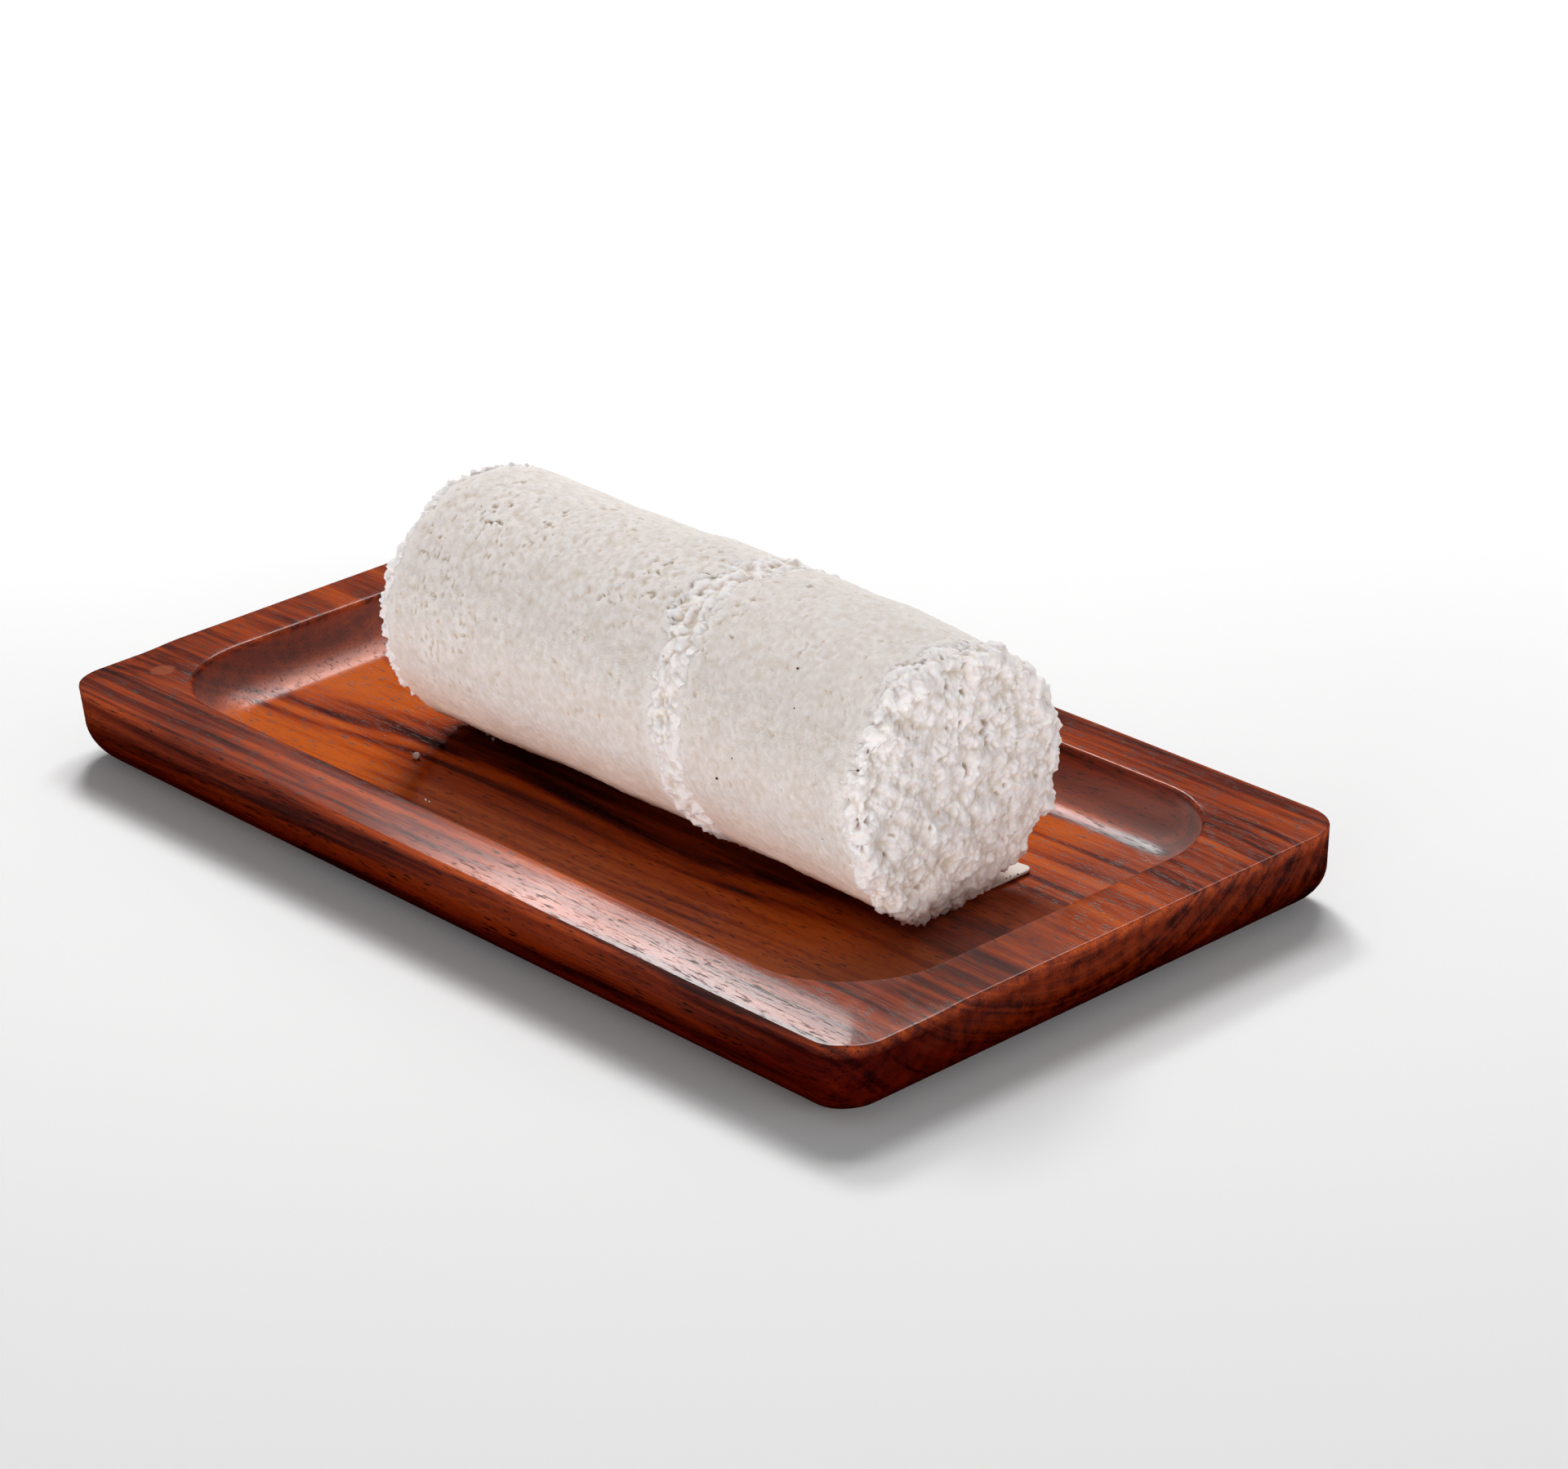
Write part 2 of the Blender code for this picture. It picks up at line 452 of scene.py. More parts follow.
@dataclass(frozen=True)
class LacqueredRosewood(Finish):
    """Rosewood board, routed, sanded and sprayed with a thin satin lacquer.

    The rings curve round a pith above the board, so they show as close lines on the rims and
    sides, broad flames on the well's floor and shallow bowls on the ends. Lacquer deepens the
    orange heartwood and leaves its open pores as fine dark dashes in the shine.

    Attributes:
        ring_spacing: Mean width of a growth ring.
        pith: A point of the tree's pith.
        pith_turn: How the pith line is turned from X, as Euler angles.
        wander: How far the rings wander sideways.
        pore: Length and width of a pore; real ones are 0.2 mm wide, drawn wider so that they show.
        tones: Colours from the darkest late wood to the palest early wood.
        even_tone: Where the rims' general tone lies among them.
        shine: Strength of the mirror-like part; oil has soaked in, so little of it is left.
        marks: The filled hole in the rim and the pin knot at the well's edge: middle, radius,
            blur, strength and colour.
    """

    ring_spacing: float = 1.7 * MM
    pith: Place = (0.0, -0.010, 0.068)
    pith_turn: Place = (0.0, math.radians(0.6), math.radians(-1.2))
    wander: float = 9.0 * MM
    pore: tuple[float, float] = (4.0 * MM, 0.45 * MM)
    tones: tuple[tuple[float, str], ...] = (
        (0.22, "#2A0B04"),
        (0.36, "#601C08"),
        (0.50, "#96370C"),
        (0.64, "#B4480E"),
        (0.82, "#C85C18"),
    )
    even_tone: float = 0.46
    shine: float = 0.1
    marks: tuple[tuple[Place, float, float, float, str], ...] = (
        ((-0.125, -0.0558, 0.020), 2.6 * MM, 0.8 * MM, 0.55, "#A8593A"),
        ((0.0927, -0.0478, 0.013), 0.5 * MM, 0.9 * MM, 0.9, "#140503"),
    )

    def rings(self, put: Put, place: Socket) -> Socket:
        """Counts the growth rings out from the pith.

        Args:
            put: Adds a node to the material.
            place: Where they are counted.

        Returns:
            The number of rings.
        """
        from_pith = put("VectorMath", {0: place, 1: self.pith}, operation="SUBTRACT")
        turn = {"Vector": from_pith, "Rotation": self.pith_turn}
        turned = put("VectorRotate", turn, rotation_type="EULER_XYZ")
        slow = put("VectorMath", {0: place, 1: (7.0, 16.0, 16.0)}, operation="MULTIPLY")
        drift = put("TexNoise", {"Vector": slow, "Scale": 1.0, "Detail": 1.0}, "Color")
        centred = put("VectorMath", {0: drift, 1: (0.5, 0.5, 0.5)}, operation="SUBTRACT")
        wandered = {0: centred, 1: (self.wander,) * 3, 2: turned}
        moved = put("VectorMath", wandered, operation="MULTIPLY_ADD")
        across = put("VectorMath", {0: moved, 1: (0.0, 1.0, 1.0)}, operation="MULTIPLY")
        radius = put("VectorMath", {0: across}, "Value", operation="LENGTH")
        return put("Math", {0: radius, 1: 1 / self.ring_spacing}, operation="MULTIPLY")

    def dress(self, put: Put) -> Sockets:
        """Puts in rings, flames, fibres, pores, marks and gloss.

        Args:
            put: Adds a node to the material.

        Returns:
            What feeds each of the shader's sockets.
        """
        place = put("TexCoord", output="Object")
        x, y, z = (put("SeparateXYZ", {0: place}, axis) for axis in "XYZ")
        well, cove, shade = (
            put("Attribute", output="Fac", attribute_name=name) for name in ("well", "cove", "shade")
        )
        rings = self.rings(put, place)
        lines = {"W": rings, "Scale": 1.0, "Detail": 2.0, "Roughness": 0.6}
        lines = put("TexNoise", lines, noise_dimensions="1D")
        flames = put("TexNoise", {"W": rings, "Scale": 0.23, "Detail": 1.0}, noise_dimensions="1D")
        drawn_out = []
        for long, wide in ((70 * MM, 3.0 * MM), (14 * MM, 0.5 * MM), (60 * MM, 25 * MM), self.pore):
            scale = {0: place, 1: (1 / long, 1 / wide, 1 / wide)}
            scaled = put("VectorMath", scale, operation="MULTIPLY")
            drawn_out.append(put("TexNoise", {"Vector": scaled, "Scale": 1.0, "Detail": 2.0}))
        streaks, fibres, clouds, pitted = drawn_out

        # The floor is paler than the rims. Along and under the log it is darker, painted shadow of the log
        # together with darker figure, and it grows darker towards the far corner beyond the open end.
        near = put("MapRange", {0: y, 1: -44 * MM, 2: -35 * MM, 4: well})
        painted_log_shadow = put("MapRange", {0: x, 1: 50 * MM, 2: 90 * MM, 3: near, 4: 0.0})
        pale = put("MapRange", {0: x, 1: -82 * MM, 2: -60 * MM, 3: 0.12, 4: 0.0})
        far = put("MapRange", {0: y, 1: -20 * MM, 2: 15 * MM, 4: well})
        brown = put("MapRange", {0: x, 1: 80 * MM, 2: 98 * MM, 4: far})
        tone = self.even_tone
        for mask, gain in ((well, 0.31), (painted_log_shadow, -0.21), (well, pale), (brown, -0.26)):
            tone = put("Math", {0: mask, 1: gain, 2: tone}, operation="MULTIPLY_ADD")
        bold = put("Math", {0: well, 1: 0.45, 2: 0.4}, operation="MULTIPLY_ADD")
        for figure, gain in ((lines, bold), (flames, bold), (streaks, 0.6), (fibres, 0.3), (clouds, 0.45)):
            centred = put("Math", {0: figure, 1: 0.5}, operation="SUBTRACT")
            tone = put("Math", {0: centred, 1: gain, 2: tone}, operation="MULTIPLY_ADD")
        calm = put("Math", {0: cove, 1: 0.5}, operation="MULTIPLY")
        tone = put("Mix", {0: calm, 2: tone, 3: self.even_tone})
        colour = put("ValToRGB", {0: tone}, stops=self.tones)

        # Painted sheen: a pale grey-pink is mixed into the colour for the lacquer's reflection of the room,
        # a little on the rim, more in the cove and on the floor by the open end.
        painted_sheen = put("MapRange", {0: z, 1: 10 * MM, 2: 13 * MM, 4: 0.05})
        cove_sheen = put("MapRange", {0: x, 1: 40 * MM, 2: 115 * MM, 3: 0.15, 4: 0.30})
        floor_sheen = put("MapRange", {0: x, 1: 75 * MM, 2: 105 * MM, 4: 0.12})
        for mask, gain in ((cove, cove_sheen), (well, floor_sheen)):
            painted_sheen = put("Math", {0: mask, 1: gain, 2: painted_sheen}, operation="MULTIPLY_ADD")
        pores = put("MapRange", {0: pitted, 1: 0.585, 2: 0.68})
        covers = [(pores, "#160704")]
        for middle, radius, blur, strength, tint in self.marks:
            away = put("VectorMath", {0: place, 1: middle}, "Value", operation="DISTANCE")
            mask = put("MapRange", {0: away, 1: radius, 2: radius + blur, 3: strength, 4: 0.0})
            covers.append((mask, tint))
        # The last of these mixes, towards #B3A09C, is the painted sheen.
        for mask, tint in (*covers, (painted_sheen, "#B3A09C")):
            colour = put("Mix", {0: mask, 6: colour, 7: linear(tint)}, 2, data_type="RGBA")
        # Painted shade: the outside is multiplied towards a dark purple-brown as far as the plate marks it.
        shaded = {0: shade, 6: colour, 7: linear("#6A3E48")}
        colour = put("Mix", shaded, 2, data_type="RGBA", blend_type="MULTIPLY")

        smears = put("TexNoise", {"Vector": place, "Scale": 45.0, "Detail": 3.0})
        roughness = put("MapRange", {0: smears, 1: 0.3, 2: 0.7, 3: 0.14, 4: 0.17})
        for mask, gain in ((cove, 0.18), (pores, 0.25)):
            roughness = put("Math", {0: mask, 1: gain, 2: roughness}, operation="MULTIPLY_ADD")
        dips = put("Math", {0: pores, 1: -1.0, 2: fibres}, operation="MULTIPLY_ADD")
        return {
            "Base Color": colour,
            "Roughness": roughness,
            "Normal": put("Bump", {"Height": dips, "Strength": 0.25, "Distance": 0.05 * MM}),
            "IOR": 1.5,
            "Specular IOR Level": self.shine,
        }


@dataclass(frozen=True)
class SteamedCrumb(Finish):
    """Moist crumb of rice flour or grated coconut, steamed until it holds together.

    Light sinks a millimetre or two into it, which softens every grain. Its hollows are painted darker and
    creamier as painted shade and its proud parts a little paler, and near its foot the wood's warm bounce
    light is painted in. The skin is matt with a faint damp shine.

    Attributes:
        crest: Colour of what stands proud, paler as painted light.
        body: Colour of the general surface.
        hollow: Colour at the bottom of a hollow, darker as painted shade.
        mottle: Size of its paler and darker patches.
        speck: Spacing of the places where a toasted speck may lie.
        amber: Colour of the specks.
        grain: Size of the flour's own grains.
        grain_relief: How far they stand out.
        glow: Share of light that travels through the crumb, away from its joints.
        foot: Colour of the wood's warm bounce light, painted in near the foot.
        painted_bounce_strength: How strongly that painted bounce light is mixed in at the foot.
    """

    crest: str = "#E9E2DE"
    body: str = "#DFD7D1"
    hollow: str = "#D4C5B4"
    mottle: float = 3 * MM
    speck: float = 1.4 * MM
    amber: str = "#D3A781"
    grain: float = 0.55 * MM
    grain_relief: float = 0.4 * MM
    glow: float = 0.7
    foot: str = "#F2BC96"
    painted_bounce_strength: float = 0.8

    def dress(self, put: Put) -> Sockets:
        """Puts in crumb tones with painted shade in the hollows, toasted specks, painted warm bounce light
        at the foot, flour grain and glow.

        Args:
            put: Adds a node to the material.

        Returns:
            What feeds each of the shader's sockets.
        """
        place = put("TexCoord", output="Object")
        depth, free = (put("Attribute", output="Fac", attribute_name=name) for name in ("hollow", "open"))
        mottle, dots, flour = (
            put("TexNoise", {"Vector": place, "Scale": 1 / size, "Detail": detail})
            for size, detail in ((self.mottle, 3.0), (self.speck, 0.0), (self.grain, 3.0))
        )
        # Painted shade: the deeper a point lies below the smoothed surface, the darker and creamier its
        # colour; proud parts are paler.
        varied = put("Math", {0: mottle, 1: 0.35, 2: depth}, operation="MULTIPLY_ADD")
        tones = ((0.50, self.crest), (0.68, self.body), (0.95, self.hollow))
        colour = put("ValToRGB", {0: varied}, stops=tones)
        toasted = put("MapRange", {0: dots, 1: 0.7954, 2: 0.873, 4: 0.6})
        height = put("SeparateXYZ", {0: place}, "Z")
        # Painted warm bounce light from the wood: strongest at the foot, gone 34 mm up.
        painted_bounce = put("MapRange", {0: height, 1: 9 * MM, 2: 34 * MM, 3: self.painted_bounce_strength, 4: 0.0})
        for mask, tint in ((toasted, self.amber), (painted_bounce, self.foot)):
            colour = put("Mix", {0: mask, 6: colour, 7: linear(tint)}, 2, data_type="RGBA")
        return {
            "Base Color": colour,
            "Normal": put("Bump", {"Height": flour, "Strength": 0.7, "Distance": self.grain_relief}),
            "Roughness": 0.72,
            "IOR": 1.4,
            "Subsurface Weight": put("Math", {0: free, 1: self.glow}, operation="MULTIPLY"),
            "Subsurface Radius": (1.0, 0.8, 0.6),
            "Subsurface Scale": 2.0 * MM,
        }


@dataclass(frozen=True)
class ToastedBran(Finish):
    """A fleck of toasted bran or husk: brown, dry and matt."""

    def dress(self, put: Put) -> Sockets:
        """Puts in a brown with paler streaks, a fibre's width apart.

        Args:
            put: Adds a node to the material.

        Returns:
            What feeds each of the shader's sockets.
        """
        place = put("TexCoord", output="Object")
        streaks = put("TexNoise", {"Vector": place, "Scale": 1 / (0.4 * MM)})
        tone = put("ValToRGB", {0: streaks}, stops=((0.35, "#3A1710"), (0.7, "#6B3020")))
        return {"Base Color": tone, "Roughness": 0.7}


@dataclass(frozen=True)
class PaintedFloor(Finish):
    """A studio floor in flat white paint, without any shine."""

    def dress(self, put: Put) -> Sockets:
        """Needs no nodes, as the paint is the same all over."""
        return {"Base Color": linear("#FFFFFF"), "Roughness": 0.9, "Specular IOR Level": 0.0}


ROSEWOOD = LacqueredRosewood("lacquered_rosewood", Slot.ROSEWOOD)
RICE = SteamedCrumb("steamed_rice_flour", Slot.RICE)
COCONUT = SteamedCrumb(
    "grated_coconut",
    Slot.COCONUT,
    crest="#F0EBEA",
    body="#EAE3E1",
    hollow="#DACDBF",
    grain=0.6 * MM,
    grain_relief=0.2 * MM,
    glow=0.8,
    painted_bounce_strength=0.25,
)
FLESH = SteamedCrumb(
    "coconut_flesh", Slot.COCONUT, crest="#E9E3D9", body="#E2DACD", grain_relief=0.06 * MM, painted_bounce_strength=0.0
)
BRAN = ToastedBran("toasted_bran", Slot.COCONUT)
WHITE_PAINT = PaintedFloor("painted_floor")


def show(mesh: Mesh, finish: Finish, *replaced: str) -> None:
    """Adds a finished piece to the object, under its mesh's name.

    Args:
        mesh: Its mesh.
        finish: Its finish.
        *replaced: CAD nodes that it stands for.
    """
    mesh.materials.append(finish.material())
    piece = bpy.data.objects.new(mesh.name, mesh)
    bpy.context.scene.collection.objects.link(piece)
    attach(piece, BODY)
    if replaced:
        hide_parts(*replaced)
    log.info("%s: %d faces", piece.name, len(mesh.polygons))


# ------------ plate


@dataclass
class Plate:
    """The rosewood plate: one board with a round-cornered well.

    Attributes:
        side_taper: How far the sides draw in towards the underside.
        underside_height: How high up the sides start to turn under.
        side_undercut: How far the two long sides turn under.
        end_undercut: How far the two ends turn under.
        corner_tightening: How much an outline's corners tighten as it draws in.
        crown: How much lower the near rim is at its outer edge than at the well's lip.
        far_crown: The other rims' share of that.
        waviness: How far hand sanding leaves the faces from true.
        step: Spacing of the mesh's points, as a share of a straight side.
    """

    corner_radius: float = 10.5 * MM
    side_taper: float = 0.5 * MM
    underside_height: float = 10.5 * MM
    side_undercut: float = 8.5 * MM
    end_undercut: float = 13.5 * MM
    corner_tightening: float = 0.6
    rim_edge_round: float = 0.6 * MM
    end_rim_width: float = 16 * MM
    side_rim_width: float = 14.5 * MM
    well_corner_radius: float = 26 * MM
    lip_round: float = 1.0 * MM
    cove_run: float = 13 * MM
    cove_drop: float = 10 * MM
    crown: float = 1.3 * MM
    far_crown: float = 0.3
    waviness: float = 0.12 * MM
    step: float = 0.025

    def __post_init__(self) -> None:
        """Reads the board's size from the frame."""
        low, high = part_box("plate")
        self.half_x = (high.x - low.x) / 2
        self.half_y = (high.y - low.y) / 2
        self.top = high.z
        self.floor_z = self.top - self.lip_round - self.cove_drop

    def outer(self, inset: float, z: float, further: float = 0.0) -> Array:
        """The plate's outline, drawn in by an inset and further at the ends."""
        radius = self.corner_radius - self.corner_tightening * inset
        return rounded_ring(self.half_x - inset - further, self.half_y - inset, radius, z, self.step)

    def well(self, inset: float, z: float) -> Array:
        """The well's outline, drawn in by an inset from its wall; below 0 it lies on the rim."""
        half_x, half_y = self.half_x - self.end_rim_width - inset, self.half_y - self.side_rim_width - inset
        return rounded_ring(half_x, half_y, self.well_corner_radius - inset, z, self.step)

    def build(self) -> None:
        """Lofts the board from its underside over the rim and into the well."""
        lip_z, edge_z = self.top - self.lip_round, self.top - self.rim_edge_round
        rings = []
        for sine, cosine in quarter_turn(12):
            inset = self.side_taper + self.side_undercut * (1 - sine)
            further = (self.end_undercut - self.side_undercut) * (1 - sine)
            rings.append(self.outer(inset, self.underside_height * (1 - cosine), further))
        for share in (0.33, 0.66):
            height = self.underside_height + (edge_z - self.underside_height) * share
            rings.append(self.outer(self.side_taper * (1 - share), height))
        edge, lip = self.rim_edge_round, self.lip_round
        rings += [self.outer(edge * (1 - cosine), edge_z + edge * sine) for sine, cosine in quarter_turn(6)]
        outside, inside = rings[-1], self.well(-lip, self.top)
        rings += [outside + (inside - outside) * share**1.5 for share in np.linspace(0, 1, 13)[1:-1]]
        rings += [self.well(lip * (sine - 1), lip_z + lip * cosine) for sine, cosine in quarter_turn(6)]
        for sine, cosine in quarter_turn(18)[1:]:
            rings.append(self.well(self.cove_run * (1 - cosine), lip_z - self.cove_drop * sine))
        self.sand(skin_rings(np.array(rings)))

    def sand(self, board: Shell) -> None:
        """Crowns and sands the rim by hand, marks the well's floor and its cove, and marks the painted shade
        on the outside.

        Args:
            board: The true shape.
        """
        x, y, height = board.points.T
        from_edge = np.minimum(self.half_x - np.abs(x), self.half_y - np.abs(y))
        swell = Noise(11).rough(board.points / (45 * MM), 2)
        free = rise(self.floor_z, self.floor_z + 3 * MM, height) * rise(0, 4 * MM, height)
        across = 1 - np.clip(from_edge / self.side_rim_width, 0, 1)
        top = rise(self.top - 3 * MM, self.top - self.rim_edge_round, height)
        near = self.far_crown + (1 - self.far_crown) * rise(-40 * MM, -52 * MM, y)
        height += self.waviness * swell * free + self.crown * near * (0.4 - across**1.25) * top

        mesh = board.mesh("plate_board")
        mesh.set_sharp_from_angle(angle=math.radians(60))
        # Painted shade on the outside: all of it below the rim's edge, more low down where the sides turn
        # under, and more again round the near corner.
        upper = rise(self.top - 0.7 * MM, self.top - 2.5 * MM, height)
        corner = hump(np.hypot(x - self.half_x, y + self.half_y), 0, 30 * MM)
        dark = 0.75 * upper + 0.25 * rise(15 * MM, 4 * MM, height) + 0.35 * corner
        store(mesh, "shade", dark * rise(14.35 * MM, 14.2 * MM, from_edge))
        inside = rise(self.end_rim_width - 2 * MM, self.end_rim_width, from_edge)
        store(mesh, "well", inside * rise(self.floor_z + 4 * MM, self.floor_z + 1 * MM, height))
        below = rise(self.top - 0.5 * MM, self.top - 2 * MM, height)
        store(mesh, "cove", inside * below * rise(self.floor_z, self.floor_z + 2 * MM, height))
        show(mesh, ROSEWOOD, "plate")


# ------------ puttu


@dataclass(frozen=True)
class Cut:
    """A plane between two of the log's layers.

    Attributes:
        x: Where it crosses the log's axis.
        lean: How far it leans back for each unit of rise.
        ragged: How far the moulded skin's broken edge wanders from the plane.
        bites: Where that edge lies off the plane: angle round the log and half width, both in
            degrees, and the distance along the log.
    """

    x: float
    lean: float
    ragged: float = 0.0
    bites: Table = ()

    def bitten(self, angle: Array) -> Array:
        """How far the edge lies off the plane at each angle."""
        offsets = [offset * turn_hump(angle, middle, half) for middle, half, offset in self.bites]
        return sum(offsets, np.zeros(angle.shape))


@dataclass
class LogForm:
    """The puttu's form: a round log, a little bowed, settled into the well.

    Attributes:
        radius: The steaming tube's inner radius.
        rear: The plane of its rear face.
        front: The plane of its open face.
        bow: How far its middle bows to the far side.
        end_offset: Where its ends lie across the plate.
        sag: How far it has settled under its own weight.
        unevenness: Height of its large lumps.
        dents: Shallow dents: middle and half length along the log, middle and half width round
            it in degrees, and depth.
    """

    radius: float = 31.5 * MM
    rear: Cut = Cut(-70.5 * MM, -0.03)
    front: Cut = Cut(97.5 * MM, 0.055, bites=((318.0, 36.0, -2.7 * MM), (268.0, 28.0, -3.4 * MM)))
    bow: float = 1.6 * MM
    end_offset: float = -0.3 * MM
    sag: float = 0.4 * MM
    rear_shoulder: float = 6 * MM
    front_shoulder: float = 3 * MM
    unevenness: float = 0.45 * MM
    lump_size: float = 15 * MM
    dents: Table = (
        (-20 * MM, 28 * MM, 62, 24, 1.3 * MM),
        (99 * MM, 17 * MM, 66, 40, 1.8 * MM),
    )

    def __post_init__(self) -> None:
        """Reads from the frame what the log lies on."""
        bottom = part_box("puttu_rear_rice")[0].z
        self.axis_z = bottom + self.radius - self.sag
        self.rest_z = bottom - 0.2 * MM
        self.noise = Noise(3)

    def axis_y(self, x: Array) -> Array:
        """Where the axis runs across the plate, at places along the log."""
        middle, half = (self.rear.x + self.front.x) / 2, (self.front.x - self.rear.x) / 2
        return self.end_offset + self.bow * (1 - ((x - middle) / half) ** 2)

    def edge(self, cut: Cut, angle: Array) -> Array:
        """Where the moulded skin's ragged edge lies at a cut, kept short of the open face.

        Args:
            cut: The cut.
            angle: Angles round the log.

        Returns:
            The edge's place along the log at each angle.
        """
        x = cut.x + cut.bitten(angle)
        torn = np.zeros(angle.shape)
        for turn, share in ((4.0, 0.5), (11.0, 0.7)):
            around = np.stack((np.cos(angle) * turn, np.sin(angle) * turn, x / MM), axis=-1)
            torn += share * self.noise.rough(around.reshape(-1, 3), 3).reshape(angle.shape)
        further = (cut.lean - self.front.lean) * self.radius * np.sin(angle)
        face = self.front.x + self.front.bitten(angle) + further
        return np.minimum(x + cut.ragged * torn, face - self.front_shoulder - 1.3 * MM)

    def skin(self, x: Array, angle: Array) -> Array:
        """Radius of the log before its fine relief, drawn in where its ends are rounded.

        Args:
            x: Places along the log.
            angle: Angles round it.

        Returns:
            The radius at each.
        """
        lumps = self.noise.smooth(self.unrolled(x, angle) / self.lump_size).reshape(x.shape)
        radius = self.radius + self.unevenness * lumps
        ends = ((x - self.rear.x, self.rear_shoulder), (self.front.x - x, self.front_shoulder))
        for inland, shoulder in ends:
            radius -= shoulder - np.sqrt(shoulder**2 - np.clip(shoulder - inland, 0, shoulder) ** 2)
        for middle, half, turn, half_turn, depth in self.dents:
            radius -= depth * hump(x, middle, half) * turn_hump(angle, turn, half_turn)
        return radius

    def unrolled(self, x: Array, angle: Array) -> Array:
        """Points on the log's true cylinder, one a row, at which noise is read."""
        around = (x, self.radius * np.cos(angle), self.radius * np.sin(angle))
        return np.stack(around, axis=-1).reshape(-1, 3)

    def place(self, x: Array, lean: Array | float, angle: Array, radius: Array) -> Array:
        """Puts points of the log in the frame and settles them on the well's floor.

        Args:
            x: Where their leaning planes cross the axis.
            lean: How far those planes lean.
            angle: Angles round the log.
            radius: Distances from its axis.

        Returns:
            The points, in a last axis of 3.
        """
        up = radius * np.sin(angle)
        y = self.axis_y(x) + radius * np.cos(angle)
        return np.stack((x - lean * up, y, np.maximum(self.axis_z + up, self.rest_z)), axis=-1)


@dataclass(frozen=True)
class CrumbRelief:
    """Relief of broken, crumbly coconut and flour: mounds of lumps of granules.

    Attributes:
        mound: Height of its mounds, 7 mm wide.
        lump: Height of its lumps, 3 to 4 mm wide.
        granule: Height of its granules, 1.6 mm wide.
        grain: Height of its grains, 0.9 mm wide.
        pit: Depth of its deepest pits.
        seed: Fixes the pattern.
    """

    mound: float = 1.3 * MM
    lump: float = 0.75 * MM
    granule: float = 0.45 * MM
    grain: float = 0.22 * MM
    pit: float = 2.4 * MM
    seed: int = 5

    def height(self, points: Array) -> Array:
        """How far the crumb stands out.

        Args:
            points: Places on the even surface, one row each.

        Returns:
            Heights, one a row.
        """
        noise = Noise(self.seed)
        pull = [noise.smooth(points / (3 * MM) + shift) for shift in (11, 23, 37)]
        bent = points + 0.4 * MM * np.stack(pull, axis=1)
        vary = 1 + 0.8 * noise.smooth(points / (4 * MM) + 51)
        height = self.mound * noise.smooth(points / (7 * MM))
        height += 0.7 * self.lump * noise.smooth(bent / (3.0 * MM))
        height += self.lump * noise.grains(bent / (3.2 * MM, 3.8 * MM, 3.3 * MM))
        height += self.granule * vary * noise.grains(bent / (1.6 * MM))
        height += self.grain * noise.grains(bent / (0.9 * MM))
        return height - self.pit * rise(0.36, 0.75, noise.rough(bent / (3.0 * MM) + 17, 2))


@dataclass
class Layer:
    """One of the log's layers.

    Attributes:
        name: The piece's name, which is its CAD node's without the puttu in front.
        form: The log's form.
        start: The plane it starts at.
        end: The plane it ends at.
        finish: Its finish.
        crumble: How crumbly it is where it is broken.
        lap: How far it runs on under its neighbours' crumb.
        step: Spacing of the mesh's points.
    """

    name: str
    form: LogForm
    start: Cut
    end: Cut
    finish: Finish = COCONUT
    crumble: CrumbRelief = CrumbRelief()
    lap: float = 3.0 * MM
    step: float = 0.27 * MM

    def band(self, length: float) -> tuple[Array, Array, Array, Array]:
        """Spreads points round the layer, from under one neighbour to under the other.

        Args:
            length: Its length, from which the number of points along it follows.

        Returns:
            Each point's place along the log, share of the way, angle and distance from the
            nearer end.
        """
        form = self.form
        columns = round(2 * math.pi * form.radius / self.step)
        shares = np.linspace(0, 1, round(length / self.step) + 1)
        share, angle = np.meshgrid(shares, np.arange(columns) * 2 * math.pi / columns, indexing="ij")
        first = np.maximum(form.edge(self.start, angle) - self.lap, form.rear.x + form.rear_shoulder / 2)
        last = form.edge(self.end, angle) + self.lap
        x = first + (last - first) * share
        return x, share, angle, np.minimum(x - first, last - x)

    def lay(self, shell: Shell, rounds: int, depth: float, free: Array) -> None:
        """Makes the layer's piece.

        Args:
            shell: Its shape.
            rounds: How widely that is evened out to find its hollows.
            depth: The depth of hollow that counts as 1.
            free: How far light gets in at each point, from 0 under a neighbour to 1.
        """
        mesh = shell.mesh(self.name)
        mark_hollows(mesh, rounds, depth)
        store(mesh, "open", free.ravel())
        show(mesh, self.finish, "puttu_" + self.name)


